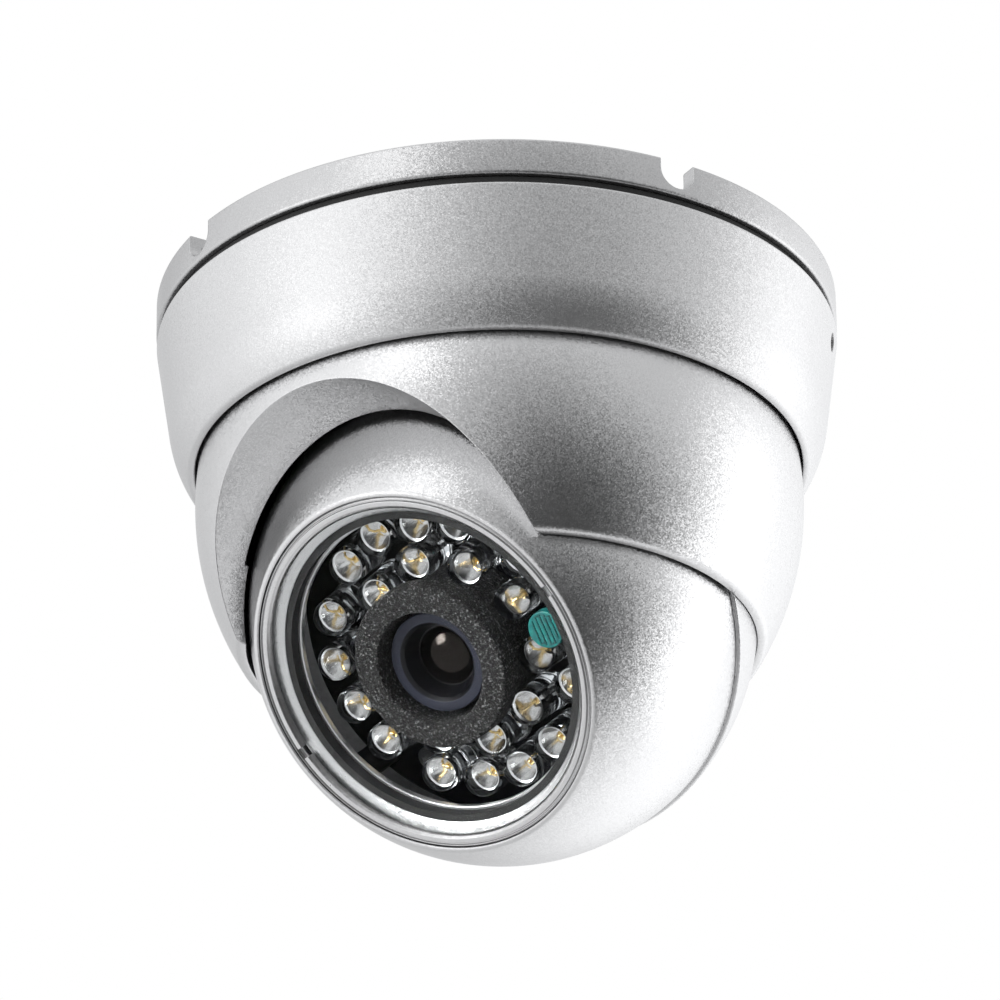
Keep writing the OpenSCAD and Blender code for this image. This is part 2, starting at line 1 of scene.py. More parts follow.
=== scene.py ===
"""Looks of a ceiling dome camera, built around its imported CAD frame.

Every piece of the shell is turned about the pan axis or the lens axis, so most
pieces come from spin(), which takes a section with rounded corners.
Sizes are in millimetres, and heights along the lens are counted from the ball's
centre. The calls that add and shape a piece turn them into metres.
"""
import json
import math
import random

import bpy
from mathutils import Matrix, Vector


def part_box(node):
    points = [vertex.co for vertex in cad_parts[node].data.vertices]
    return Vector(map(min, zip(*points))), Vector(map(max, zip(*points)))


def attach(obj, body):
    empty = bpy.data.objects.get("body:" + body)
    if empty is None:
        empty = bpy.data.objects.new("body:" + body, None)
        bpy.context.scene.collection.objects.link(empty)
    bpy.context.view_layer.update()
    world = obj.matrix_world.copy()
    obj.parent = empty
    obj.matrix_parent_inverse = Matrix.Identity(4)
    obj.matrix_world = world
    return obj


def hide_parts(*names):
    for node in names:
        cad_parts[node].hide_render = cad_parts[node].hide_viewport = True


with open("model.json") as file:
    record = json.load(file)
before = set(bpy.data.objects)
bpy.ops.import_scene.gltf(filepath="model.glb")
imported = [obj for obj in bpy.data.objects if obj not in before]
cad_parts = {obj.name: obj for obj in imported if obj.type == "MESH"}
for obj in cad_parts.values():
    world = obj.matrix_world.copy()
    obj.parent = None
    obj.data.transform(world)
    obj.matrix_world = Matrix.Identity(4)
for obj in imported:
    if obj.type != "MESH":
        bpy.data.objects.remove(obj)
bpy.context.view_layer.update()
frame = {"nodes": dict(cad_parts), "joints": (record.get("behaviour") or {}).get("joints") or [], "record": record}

MM = 0.001
TURN = 2 * math.pi

# ---------------------------------------------------------------- the frame

JOINTS = {j["name"]: j for j in frame["joints"]}
BALL_Z = JOINTS["tilt"]["pos_m"][2] / MM
LENS_AXIS = Vector(JOINTS["roll"]["axis"]).normalized()
LENS_TILT = math.asin(-LENS_AXIS.z)
LENS_FRAME = Matrix.Translation((0, 0, BALL_Z * MM)) @ Matrix.Rotation(math.pi / 2 + LENS_TILT, 4, "X")


def top(node):
    """Highest point of a CAD node, in millimetres."""
    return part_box(node)[1][2] / MM


def bottom(node):
    """Lowest point of a CAD node, in millimetres."""
    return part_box(node)[0][2] / MM


# sizes that the CAD model also has, in millimetres
CLEARANCE = 0.05
BASE_R = 47.0
RIM_H = 5.2
RIM_WALL = 2.6
HOLLOW_H = 3.4
NOTCH_W = 5.2
NOTCH_H = 4.2
NOTCH_DEG = (-20, 70, 160, 250)
SCREW_PCR = 34.0
SCREW_R = 2.2
BOSS_R = 4.8
GROMMET_R = 8.0
GROMMET_FLANGE_R = GROMMET_R + 2
WELL_IN_R = GROMMET_R + 3.2
WELL_R = GROMMET_R + 5
CABLE_R = 3.0
STOP_W = 5.6
STOP_LIFT = 3.7
COVER_TOP = top("outer_cover")
COVER_BOT = bottom("outer_cover")
COVER_CURVE_R = 31.55
COVER_CURVE_X = 13.8
COVER_CURVE_Z = COVER_TOP - 2.5
COVER_DRAFT = math.radians(8.2)
COVER_ROUND_R = 14.5
COVER_LIP_R = 41.58
COVER_BORE_R = 44.6
SET_SCREW_Z = -9.8
SET_SCREW_R = 1.35
SET_SCREW_DEG = (120, 300)
TURRET_R = 41.5
TURRET_CZ = COVER_BOT - 5.05
NECK_R = 41.19
RIM_Z = bottom("turret_shell")
CAVITY_R = 35.45
SEAT_R = 34.88
SEAT_TOP = BALL_Z + 4.4
BROW_Z = BALL_Z - 8.6
BROW_R = 26.6
BROW_DRAFT = math.radians(3)
STEM_R = 4.0
TURRET_BORE_R = 36.89
FLANGE_R = 42.7
SPIGOT_R = 44.2
SPIGOT_IN_R = 42.4
REAR_R = 34.8
REAR_IN_R = 32.6
FRONT_R = 34.25
FRONT_IN_R = 32.05
SEAM_H = -2.0
COLLAR_H = SEAM_H + 3
COLLAR_R = 29.95
LIP_H = 22.83
FRONT_BORE_R = 24.95
SEAT_H = LIP_H - 2.53
LAND_R = 22.0
LEDGE_H = LIP_H - 5.03
LEDGE_T = 0.9
LEDGE_R = 20.5
BEZEL_R = 24.85
BEZEL_IN_R = 23.35
BEZEL_TOP = LIP_H - 0.08
WINDOW_R = 23.9
WINDOW_T = 1.6
SLOT_DEG = (11, 191)
SLOT_W = 1.5
SLOT_D = 0.75
LED_R = 2.5
LED_FLANGE_R = LED_R + 0.15
LED_H = 8.7
LED_TIP = 16.35
BOARD_TOP = LED_TIP - LED_H - CLEARANCE
LED_OUTER_R = 17.9
LED_INNER_R = 12.6
LED_GROUP_DEG = (-2.8, 89.8, 177, 266)
LED_PITCH = 20.3
LED_INNER_DEG = 88
PILLAR_R = 2.0
PILLAR_PCR = LED_OUTER_R + LED_FLANGE_R + PILLAR_R + 0.15
PILLAR_DEG = (87, 207, 327)
FOAM_R = 11.35
FOAM_IN_R = 7.8
FOAM_TOP = SEAT_H - CLEARANCE
FOAM_LOW_R = LED_INNER_R - LED_R - 0.3
FOAM_STEP = LED_TIP + 0.3
LENS_FACE = 17.95
LENS_HEAD_R = 6.95
LENS_HEAD_L = 6.0
LENS_THREAD_R = 5.95
LENS_BOT = 1.6
LENS_CONE_R = 5.6
LENS_GLASS_R = 4.0
LENS_GLASS_RISE = 1.6
LENS_GLASS_H = LENS_FACE - 2.7
PHOTOCELL_H = LENS_FACE + 0.35
PHOTOCELL_R = 2.55

# ---------------------------------------------------------------- node help


class Nodes:
    """A material's node tree, with calls that add and join nodes."""

    def __init__(self, name):
        self.mat = bpy.data.materials.new(name)
        self.mat.use_nodes = True
        self.tree = self.mat.node_tree
        self.tree.nodes.clear()
        self.out = self.tree.nodes.new("ShaderNodeOutputMaterial")
        self.coord = self.add("ShaderNodeTexCoord").outputs["Object"]

    def add(self, kind, inputs=None, **props):
        node = self.tree.nodes.new(kind)
        for key, value in props.items():
            setattr(node, key, value)
        for key, value in (inputs or {}).items():
            self.put(node.inputs[key], value)
        return node

    def put(self, socket, value):
        if isinstance(value, bpy.types.NodeSocket):
            self.tree.links.new(value, socket)
        else:
            socket.default_value = value

    def noise(self, scale, detail=2.0, rough=0.5):
        inputs = {"Vector": self.coord, "Scale": scale, "Detail": detail, "Roughness": rough}
        return self.add("ShaderNodeTexNoise", inputs)

    def maths(self, operation, a, b=0.0, clamp=False):
        node = self.add("ShaderNodeMath", operation=operation, use_clamp=clamp)
        self.put(node.inputs[0], a)
        self.put(node.inputs[1], b)
        return node.outputs[0]

    def ramp(self, fac, *stops):
        node = self.add("ShaderNodeValToRGB", {"Fac": fac})
        ramp = node.color_ramp
        while len(ramp.elements) < len(stops):
            ramp.elements.new(0.5)
        for element, (place, colour) in zip(ramp.elements, stops):
            element.position = place
            element.color = colour if len(colour) == 4 else (*colour, 1)
        return node.outputs["Color"]

    def mix(self, fac, a, b, blend="MIX"):
        node = self.add("ShaderNodeMix", data_type="RGBA", blend_type=blend)
        self.put(node.inputs[0], fac)
        self.put(node.inputs[6], a)
        self.put(node.inputs[7], b)
        return node.outputs[2]

    def bump(self, height, distance, strength=1.0, normal=None):
        node = self.add("ShaderNodeBump", {"Height": height, "Distance": distance, "Strength": strength})
        if normal is not None:
            self.put(node.inputs["Normal"], normal)
        return node.outputs["Normal"]

    def principled(self, **inputs):
        node = self.add("ShaderNodeBsdfPrincipled", {k.replace("_", " "): v for k, v in inputs.items()})
        return node.outputs["BSDF"]

    def finish(self, shader):
        self.put(self.out.inputs["Surface"], shader)
        return self.mat


def grey(v):
    return (v, v, v, 1)


FLAKES_PER_METRE = 6800.0
FLAKE_LEAN = 0.20


def paint(name, tone=0.70, rough=0.30, grain=1.0, edge=0.25):
    """Silver metallic paint: fine flakes that glint, a fine orange peel, and soft edges."""
    n = Nodes(name)
    soft = n.add("ShaderNodeBevel", {"Radius": edge * MM}, samples=6).outputs["Normal"]
    flakes = n.add("ShaderNodeTexVoronoi", {"Vector": n.coord, "Scale": FLAKES_PER_METRE}, feature="F1")
    lean = n.add("ShaderNodeVectorMath", operation="SUBTRACT")
    n.put(lean.inputs[0], flakes.outputs["Color"])
    lean.inputs[1].default_value = (0.5, 0.5, 0.5)
    small = n.add("ShaderNodeVectorMath", operation="SCALE")
    n.put(small.inputs[0], lean.outputs[0])
    small.inputs["Scale"].default_value = FLAKE_LEAN * grain
    both = n.add("ShaderNodeVectorMath", operation="ADD")
    n.put(both.inputs[0], soft)
    n.put(both.inputs[1], small.outputs[0])
    unit = n.add("ShaderNodeVectorMath", operation="NORMALIZE")
    n.put(unit.inputs[0], both.outputs[0])
    peel = n.noise(1900.0, 3.0, 0.6)
    normal = n.bump(peel.outputs["Fac"], 0.00003, 0.30 * grain, unit.outputs[0])
    cloud = n.noise(60.0, 2.0, 0.5)
    dull = (tone * 0.97, tone * 0.97, tone * 0.975)
    bright = (tone, tone, tone * 1.005)
    tint = n.ramp(cloud.outputs["Fac"], (0.3, dull), (0.7, bright))
    speck = n.ramp(flakes.outputs["Distance"], (0.0, grey(1.0)), (1.0, grey(0.85)))
    colour = n.mix(0.8, tint, speck, "MULTIPLY")
    roughness = n.maths("ADD", n.maths("MULTIPLY", peel.outputs["Fac"], 0.12), rough - 0.06)
    return n.finish(n.principled(Base_Color=colour, Metallic=1.0, Roughness=roughness, Normal=normal))


def rubber(name, tone=0.02, rough=0.7):
    n = Nodes(name)
    fine = n.noise(3000.0, 4.0, 0.6)
    colour = n.ramp(fine.outputs["Fac"], (0.3, grey(tone * 0.7)), (0.75, grey(tone * 1.5)))
    normal = n.bump(fine.outputs["Fac"], 0.00004, 0.6)
    return n.finish(n.principled(Base_Color=colour, Roughness=rough, Normal=normal))


def plastic(name, colour, rough=0.4, shine=0.5):
    n = Nodes(name)
    fine = n.noise(1800.0, 3.0, 0.5)
    dark = tuple(c * 0.85 for c in colour)
    tint = n.ramp(fine.outputs["Fac"], (0.35, dark), (0.65, colour))
    normal = n.bump(fine.outputs["Fac"], 0.00002, 0.3)
    return n.finish(n.principled(Base_Color=tint, Roughness=rough, Normal=normal, Specular_IOR_Level=shine))


def metal(name, colour, rough=0.25, brushed=900.0):
    n = Nodes(name)
    fine = n.noise(brushed, 4.0, 0.6)
    tint = n.ramp(fine.outputs["Fac"], (0.3, tuple(c * 0.8 for c in colour)), (0.7, colour))
    roughness = n.maths("ADD", n.maths("MULTIPLY", fine.outputs["Fac"], 0.2), rough - 0.1)
    normal = n.bump(fine.outputs["Fac"], 0.00002, 0.3)
    return n.finish(n.principled(Base_Color=tint, Metallic=1.0, Roughness=roughness, Normal=normal))


def see_through(name, colour, ior, rough=0.0, ripple=0.0):
    """Clear glass or resin. Light passes it unbent on its way to what lies behind."""
    n = Nodes(name)
    fine = n.noise(500.0, 2.0, 0.5)
    normal = n.bump(fine.outputs["Fac"], 0.0001, ripple)
    inputs = {"Color": (*colour, 1), "IOR": ior, "Roughness": rough, "Normal": normal}
    glass = n.add("ShaderNodeBsdfGlass", inputs)
    clear = n.add("ShaderNodeBsdfTransparent", {"Color": (*colour, 1)})
    path = n.add("ShaderNodeLightPath")
    either = n.add("ShaderNodeMixShader", {0: path.outputs["Is Shadow Ray"]})
    n.put(either.inputs[1], glass.outputs[0])
    n.put(either.inputs[2], clear.outputs[0])
    return n.finish(either.outputs[0])


def coated(name, tint, ior, mirror, mirror_tint=(1, 1, 1)):
    """Glass with a coating that takes most of its mirror image away."""
    n = Nodes(name)
    bend = n.add("ShaderNodeBsdfRefraction", {"Color": (*tint, 1), "IOR": ior, "Roughness": 0.0})
    clear = n.add("ShaderNodeBsdfTransparent", {"Color": (*tint, 1)})
    shine = n.add("ShaderNodeBsdfGlossy", {"Color": (*mirror_tint, 1), "Roughness": 0.0})
    fresnel = n.add("ShaderNodeFresnel", {"IOR": ior}).outputs[0]
    path = n.add("ShaderNodeLightPath")
    faced = n.add("ShaderNodeMixShader", {0: n.maths("MULTIPLY", fresnel, mirror)})
    n.put(faced.inputs[1], bend.outputs[0])
    n.put(faced.inputs[2], shine.outputs[0])
    either = n.add("ShaderNodeMixShader", {0: path.outputs["Is Shadow Ray"]})
    n.put(either.inputs[1], faced.outputs[0])
    n.put(either.inputs[2], clear.outputs[0])
    return n.finish(either.outputs[0])


def foam(name):
    """Black sponge with open cells. The light-grey specks in its colour are painted glints, standing in for cells
    that catch the light.
    """
    n = Nodes(name)
    cells = n.add("ShaderNodeTexVoronoi", {"Vector": n.coord, "Scale": 3300.0}, feature="F1")
    fine = n.noise(2800.0, 3.0, 0.7)
    height = n.maths("ADD", cells.outputs["Distance"], n.maths("MULTIPLY", fine.outputs["Fac"], 0.8))
    # the light-grey top stop paints glints onto some of the cells
    colour = n.ramp(fine.outputs["Fac"], (0.45, grey(0.006)), (0.58, grey(0.03)), (0.68, grey(0.30)))
    normal = n.bump(height, 0.00025, 1.0)
    return n.finish(n.principled(Base_Color=colour, Roughness=0.75, Normal=normal))


def photocell_mat(name):
    """Teal light-sensitive layer under a clear coat."""
    n = Nodes(name)
    fine = n.noise(1400.0, 2.0, 0.5)
    colour = n.ramp(fine.outputs["Fac"], (0.3, (0.0, 0.075, 0.075)), (0.7, (0.0, 0.16, 0.145)))
    return n.finish(n.principled(Base_Color=colour, Roughness=0.3, Coat_Weight=0.3, Coat_Roughness=0.05))


MATS = {
    "paint_base": paint("paint_base", tone=0.56),
    "paint_cover": paint("paint_cover", rough=0.42),
    "paint_turret": paint("paint_turret"),
    "paint_front": paint("paint_front"),
    "paint_rear": paint("paint_rear"),
    "paint_bezel": paint("paint_bezel", tone=0.66, rough=0.3, grain=0.8, edge=0.12),
    "black_rubber": rubber("black_rubber"),
    "white_plastic": plastic("white_plastic", (0.8, 0.8, 0.76), 0.45),
    "black_plastic": plastic("black_plastic", (0.02, 0.02, 0.021), 0.4),
    "zinc_casting": metal("zinc_casting", (0.55, 0.55, 0.56), 0.4, 1500.0),
    "screw_steel": metal("screw_steel", (0.62, 0.62, 0.62), 0.25),
    "black_screw": metal("black_screw", (0.09, 0.085, 0.08), 0.35),
    "window": coated("window", (0.985, 0.99, 0.99), 1.5, 0.04),
    "black_board": plastic("black_board", (0.0015, 0.0015, 0.003), 0.35, 0.03),
    "green_board": plastic("green_board", (0.02, 0.13, 0.05), 0.4),
    "sensor_chip": plastic("sensor_chip", (0.07, 0.075, 0.08), 0.15),
    "lamp_clear": see_through("lamp_clear", (0.97, 0.98, 0.99), 1.5, 0.02, 0.02),
    "solder": metal("solder", (0.6, 0.6, 0.6), 0.3, 2500.0),
    "photocell_green": photocell_mat("photocell_green"),
    "black_foam": foam("black_foam"),
    "lens_black": plastic("lens_black", (0.030, 0.033, 0.050), 0.4, 0.25),
    "lens_glass": coated("lens_glass", (0.03, 0.03, 0.06), 1.5, 0.6, (1.0, 0.88, 0.80)),
    "brass": metal("brass", (0.72, 0.52, 0.22), 0.25),
    "lead_frame": metal("lead_frame", (0.92, 0.91, 0.90), 0.18, 3000.0),
    "lead_wire": metal("lead_wire", (0.95, 0.70, 0.30), 0.25, 3000.0),
    "cell_track": plastic("cell_track", (0.0, 0.05, 0.05), 0.3),
    "lens_cone": plastic("lens_cone", (0.004, 0.004, 0.006), 0.35, 0.3),
    "inner_black": plastic("inner_black", (0.002, 0.002, 0.003), 0.5, 0.08),
}

# ---------------------------------------------------------------- outlines


def rounded(points, steps=6):
    """An outline whose corners are rounded: each point is (r, z) or (r, z, fillet)."""
    out = []
    count = len(points)
    for i, point in enumerate(points):
        here = Vector(point[:2])
        fillet = point[2] if len(point) > 2 else 0
        if not fillet:
            out.append(here)
            continue
        back = Vector(points[i - 1][:2]) - here
        ahead = Vector(points[(i + 1) % count][:2]) - here
        half = back.angle(ahead) / 2
        reach = min(fillet / math.tan(half), 0.45 * back.length, 0.45 * ahead.length)
        a = here + back.normalized() * reach
        b = here + ahead.normalized() * reach
        for k in range(steps + 1):
            t = k / steps
            out.append(a * (1 - t) ** 2 + here * 2 * t * (1 - t) + b * t ** 2)
    return [(p.x, p.y) for p in out]


def arc(cr, cz, radius, start, end, steps=40):
    """Points on an arc in the (r, z) half plane, from one angle to another in degrees."""
    turns = [math.radians(start + (end - start) * k / steps) for k in range(steps + 1)]
    return [(cr + radius * math.cos(t), cz + radius * math.sin(t)) for t in turns]


def height_angle(z, radius):
    """Angle in degrees at which a circle about the origin reaches a height."""
    return math.degrees(math.asin(z / radius))


def ball_arc(radius, centre, z0, z1, steps=48):
    """Section of a ball on the axis between two heights."""
    return arc(0, centre, radius, height_angle(z0 - centre, radius), height_angle(z1 - centre, radius), steps)


def ball_width(radius, z):
    """Radius of a ball's section at a height above its centre."""
    return math.sqrt(radius ** 2 - z ** 2)


# ---------------------------------------------------------------- modelling

MERGE_DISTANCE = 1e-7


def at(x, y, z):
    """A placement moved by millimetres."""
    return Matrix.Translation((x * MM, y * MM, z * MM))


def turned(deg):
    """A placement turned about Z."""
    return Matrix.Rotation(math.radians(deg), 4, "Z")


def azimuth(deg):
    """A placement turned so that +X points to an azimuth counted from -Y."""
    return turned(deg - 90)


def pick(*objs):
    """Selects these pieces and nothing else, the first one active."""
    bpy.ops.object.select_all(action="DESELECT")
    for obj in objs:
        obj.select_set(True)
    bpy.context.view_layer.objects.active = objs[0]


def open_edit():
    """Opens the piece that was just added, with all of it selected."""
    bpy.ops.object.mode_set(mode="EDIT")
    bpy.ops.mesh.select_all(action="SELECT")
    return bpy.context.active_object


def close_edit():
    bpy.ops.object.mode_set(mode="OBJECT")


def spin(outline, segments=192):
    """A point is extruded along an outline of (r, z) points, and the line is spun about Z."""
    points = [Vector((r * MM, 0, z * MM)) for r, z in outline]
    if outline[0][0] > 0 or outline[-1][0] > 0:
        points.append(points[0])
    bpy.ops.object.select_all(action="DESELECT")
    bpy.ops.mesh.primitive_plane_add(size=MM, location=(0, 0, 0))
    obj = open_edit()
    bpy.ops.mesh.merge(type="CENTER")
    bpy.ops.transform.translate(value=points[0])
    for a, b in zip(points, points[1:]):
        bpy.ops.mesh.extrude_region_move(TRANSFORM_OT_translate={"value": b - a})
    bpy.ops.mesh.select_all(action="SELECT")
    bpy.ops.mesh.remove_doubles(threshold=MERGE_DISTANCE)
    bpy.ops.mesh.spin(steps=segments, angle=TURN, center=(0, 0, 0), axis=(0, 0, 1))
    bpy.ops.mesh.select_all(action="SELECT")
    bpy.ops.mesh.remove_doubles(threshold=MERGE_DISTANCE)
    bpy.ops.mesh.normals_make_consistent(inside=False)
    close_edit()
    return obj


def block(x0, x1, y0, y1, z0, z1, bevel=0.0):
    """A cube stretched between three pairs of sides, with its edges bevelled."""
    bpy.ops.object.select_all(action="DESELECT")
    bpy.ops.mesh.primitive_cube_add(size=MM, location=(0, 0, 0))
    obj = open_edit()
    bpy.ops.transform.resize(value=(x1 - x0, y1 - y0, z1 - z0))
    bpy.ops.transform.translate(value=((x0 + x1) / 2 * MM, (y0 + y1) / 2 * MM, (z0 + z1) / 2 * MM))
    if bevel:
        bpy.ops.mesh.bevel(offset=bevel * MM, segments=2, affect="EDGES")
    close_edit()
    return obj


def rod(radius, length, vertices=48, far_radius=None, bevel=0.0):
    """A rod, or the stump of a cone, that stands on the origin along +Z."""
    far_radius = radius if far_radius is None else far_radius
    bpy.ops.object.select_all(action="DESELECT")
    bpy.ops.mesh.primitive_cone_add(vertices=vertices, radius1=radius * MM, radius2=far_radius * MM,
                                    depth=length * MM, location=(0, 0, 0))
    obj = open_edit()
    bpy.ops.transform.translate(value=(0, 0, length / 2 * MM))
    close_edit()
    if bevel:
        soften(obj, bevel)
    return obj


def soften(obj, width):
    """Bevels the sharp edges of a piece."""
    mod = obj.modifiers.new("bevel", "BEVEL")
    mod.width = width * MM
    mod.segments = 2
    mod.limit_method = "ANGLE"
    bpy.context.view_layer.objects.active = obj
    bpy.ops.object.modifier_apply(modifier=mod.name)


def place(obj, matrix):
    obj.data.transform(matrix)
    return obj


def copies(obj, places):
    """A piece repeated at every place, each copy with its own mesh."""
    out = []
    for matrix in places:
        twin = obj.copy()
        twin.data = obj.data.copy()
        bpy.context.scene.collection.objects.link(twin)
        out.append(place(twin, matrix))
    bpy.data.objects.remove(obj)
    return out


def join(objs):
    pick(*objs)
    bpy.ops.object.join()
    return objs[0]


def cut(obj, tools):
    """Cuts tools, which keep clear of each other, out of a piece."""
    tool = join(tools)
    mod = obj.modifiers.new("cut", "BOOLEAN")
    mod.operation = "DIFFERENCE"
    mod.solver = "EXACT"
    mod.object = tool
    pick(obj)
    bpy.ops.object.modifier_apply(modifier=mod.name)
    bpy.data.objects.remove(tool)
    return obj


def finish(obj, name, material, body, where=None, sharp=35):
    """Names a piece, puts it in its place, shades it and lets it ride on its body."""
    if where is not None:
        place(obj, where)
    obj.name = name
    obj.data.name = name
    obj.data.materials.clear()
    obj.data.materials.append(MATS[material])
    pick(obj)
    bpy.ops.object.shade_smooth_by_angle(angle=math.radians(sharp))
    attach(obj, body)
    return obj


def finish_inside(obj, material, radius):
    """Gives the faces that lie nearer the lens axis than a radius a second finish."""
    obj.data.materials.append(MATS[material])
    to_axis = LENS_FRAME.inverted()
    for face in obj.data.polygons:
        centre = to_axis @ face.center
        if math.hypot(centre.x, centre.y) < radius * MM:
            face.material_index = 1


# ---------------------------------------------------------------- the camera

CAM_AZ = math.radians(38.63)
CAM_EL = math.radians(-26.845)
CAM_DIST = 0.9
CAM_TARGET = Vector((0, 0, -0.035))
CAM_ROLL = math.radians(-0.945)
CAM_LENS_MM = 237.9
CAM_RAISE = 0.005255


def make_camera():
    data = bpy.data.cameras.new("camera")
    data.lens = CAM_LENS_MM
    data.sensor_width = 36
    data.clip_start = 0.01
    data.clip_end = 50
    cam = bpy.data.objects.new("camera", data)
    bpy.context.scene.collection.objects.link(cam)
    level = math.cos(CAM_EL)
    away = Vector((level * math.sin(CAM_AZ), -level * math.cos(CAM_AZ), math.sin(CAM_EL)))
    ahead = -away
    right = ahead.cross(Vector((0, 0, 1))).normalized()
    roll = Matrix.Rotation(CAM_ROLL, 3, away)
    right = roll @ right
    up = right.cross(ahead)
    ahead = (ahead + up * CAM_RAISE).normalized()
    up = right.cross(ahead)
    turn = Matrix((right, up, -ahead)).transposed().to_4x4()
    cam.matrix_world = Matrix.Translation(CAM_TARGET + away * CAM_DIST) @ turn
    bpy.context.scene.camera = cam
    return right, up, ahead


CAM_RIGHT, CAM_UP, CAM_AHEAD = make_camera()

# ---------------------------------------------------------------- the base

OUTER_SEGMENTS = 288


def notch_tool():
    """A rod along +X whose upper half is pulled up, so that it cuts a slot with a round end."""
    tool = place(rod(NOTCH_W / 2, RIM_WALL + 6), Matrix.Rotation(math.pi / 2, 4, "Y"))
    pick(tool)
    open_edit()
    bpy.ops.mesh.select_all(action="DESELECT")
    close_edit()
    for vert in tool.data.vertices:
        vert.select = vert.co.z > 0.01 * MM
    bpy.ops.object.mode_set(mode="EDIT")
    bpy.ops.transform.translate(value=(0, 0, NOTCH_H * MM))
    close_edit()
    return place(tool, at(BASE_R - RIM_WALL - 2, 0, NOTCH_W / 2 - NOTCH_H))


def make_base():
    floor_bot = -RIM_H + 0.4
    body = spin(rounded([
        (BASE_R - RIM_WALL, 0, 0.3), (BASE_R, 0, 0.35), (BASE_R, -RIM_H, 0.45), (COVER_BORE_R - 3, -RIM_H),
        (COVER_BORE_R - 3, floor_bot), (GROMMET_R, floor_bot), (GROMMET_R, -HOLLOW_H, 0.2),
        (BASE_R - RIM_WALL, -HOLLOW_H, 0.4),
    ]), OUTER_SEGMENTS)
    screws = [azimuth(45 + 90 * k) @ at(SCREW_PCR, 0, 0) for k in range(4)]
    holes = copies(place(rod(SCREW_R, RIM_H + 2), at(0, 0, -RIM_H - 1)), screws)
    cut(body, copies(notch_tool(), [azimuth(deg) for deg in NOTCH_DEG]) + holes)
    finish(body, "base_body", "paint_base", "base")
    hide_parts("mounting_base")

    sink_top = -RIM_H + SCREW_R
    boss = spin(rounded([
        (SCREW_R, sink_top), (2 * SCREW_R, floor_bot), (BOSS_R, floor_bot), (BOSS_R, 0, 0.4),
        (SCREW_R, 0, 0.3),
    ]), 64)
    well = spin(rounded([
        (WELL_IN_R, floor_bot), (WELL_R, floor_bot), (WELL_R, 0, 0.3), (WELL_IN_R, 0, 0.3),
    ]), 96)
    rib = block(WELL_R - 0.8, BASE_R - RIM_WALL + 0.3, -0.8, 0.8, floor_bot, -0.3 * HOLLOW_H, 0.2)
    ribs = copies(rib, [azimuth(22.5 + 45 * k) for k in range(8)])
    finish(join([well] + copies(boss, screws) + ribs), "base_ribs", "paint_base", "base")

    spigot_bot = top("pan_pressure_ring")
    root = -RIM_H + 0.2
    spigot = spin(rounded([
        (SPIGOT_IN_R, spigot_bot, 0.2), (SPIGOT_R, spigot_bot, 0.2), (SPIGOT_R, root), (SPIGOT_IN_R, root),
    ]), OUTER_SEGMENTS)
    stop_bot = top("turret_shell") + STOP_LIFT
    stop = block(NECK_R - 3, SPIGOT_IN_R + 0.2, -STOP_W / 2, STOP_W / 2, stop_bot, root, 0.3)
    place(stop, azimuth(180))
    finish(join([spigot, stop]), "base_spigot", "paint_base", "base")


def make_joint():
    """The dark ring between base and cover, and the grommet in the base's middle."""
    out_r = BASE_R - 0.9
    gasket = spin(rounded([
        (COVER_BORE_R, COVER_TOP), (out_r, COVER_TOP, 0.25), (out_r, -RIM_H, 0.25), (COVER_BORE_R, -RIM_H),
    ]), OUTER_SEGMENTS)
    finish(gasket, "joint_gasket", "black_rubber", "base")
    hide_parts("base_gasket")
    low, high = -RIM_H - 1.2, -HOLLOW_H + 1.2
    grommet = spin(rounded([
        (CABLE_R, low, 0.3), (GROMMET_FLANGE_R, low, 0.5), (GROMMET_FLANGE_R, -RIM_H, 0.2),
        (GROMMET_R, -RIM_H), (GROMMET_R, -HOLLOW_H), (GROMMET_FLANGE_R, -HOLLOW_H, 0.2),
        (GROMMET_FLANGE_R, high, 0.5),
        (CABLE_R + 2, high, 0.4), (CABLE_R + 1.6, high - 0.5, 0.2), (CABLE_R, high - 0.5, 0.3),
    ]), 96)
    finish(grommet, "grommet", "black_rubber", "base")
    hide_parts("cable_grommet")


make_base()
make_joint()

# ---------------------------------------------------------------- the cover


def cover_foot(steps=24):
    """The rounding that leaves the tapered side and ends at the cover's foot."""
    foot = Vector((COVER_LIP_R + 0.8, COVER_BOT))
    side = Vector((-math.sin(COVER_DRAFT), -math.cos(COVER_DRAFT)))
    inwards = Vector((-math.cos(COVER_DRAFT), math.sin(COVER_DRAFT)))
    start = Vector((BASE_R, COVER_TOP)) + inwards * COVER_ROUND_R
    lead = start - foot
    along = side.dot(lead)
    run = -along - math.sqrt(along ** 2 - lead.length_squared + COVER_ROUND_R ** 2)
    centre = start + side * run
    last = math.atan2(centre.y - foot.y, foot.x - centre.x) - math.radians(1)
    turns = [COVER_DRAFT + (last - COVER_DRAFT) * k / steps for k in range(steps + 1)]
    return [(centre.x + COVER_ROUND_R * math.cos(t), centre.y - COVER_ROUND_R * math.sin(t)) for t in turns]


